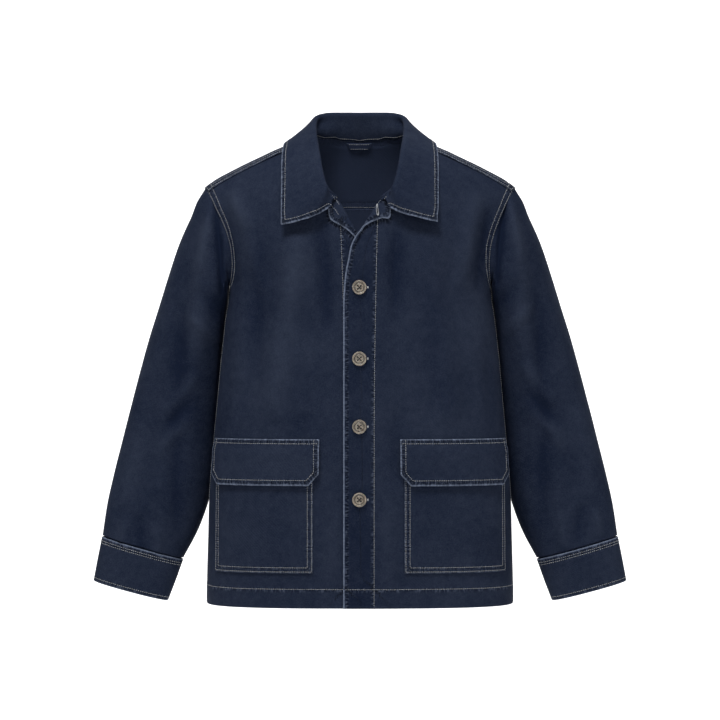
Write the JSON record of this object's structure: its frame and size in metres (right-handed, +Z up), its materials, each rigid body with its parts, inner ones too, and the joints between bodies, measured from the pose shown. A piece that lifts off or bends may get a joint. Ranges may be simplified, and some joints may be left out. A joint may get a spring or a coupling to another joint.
{
  "type": "chore jacket",
  "caption": "Hollow chore jacket with a flat collar, buttoned front, two flapped patch pockets, a yoked back and cuffed sleeves.",
  "frame": {"origin": "middle of the neck opening at the height of the neck ends of the shoulder seams, where the wearer's shoulders hold the jacket", "axes": "+Z up, +X to the wearer's left, the front faces -Y"},
  "size_m": [0.8212, 0.2346, 0.7541],
  "materials": {
    "cloth": "washed navy cotton twill, matte, lighter along its seams and edges",
    "buttons": "mottled grey-beige horn look, satin, four holes",
    "thread": "light grey cotton thread, matte"
  },
  "bodies": {
    "root": {"back": "cloth", "back_yoke": "cloth", "button_1": "buttons", "button_2": "buttons", "button_3": "buttons", "button_4": "buttons", "collar": "cloth", "cuff_left": "cloth", "cuff_right": "cloth", "flap_left": "cloth", "flap_right": "cloth", "front_left": "cloth", "front_right": "cloth", "hanger_loop": "cloth", "pocket_left": "cloth", "pocket_right": "cloth", "sleeve_left": "cloth", "sleeve_right": "cloth"}
  },
  "joints": []
}
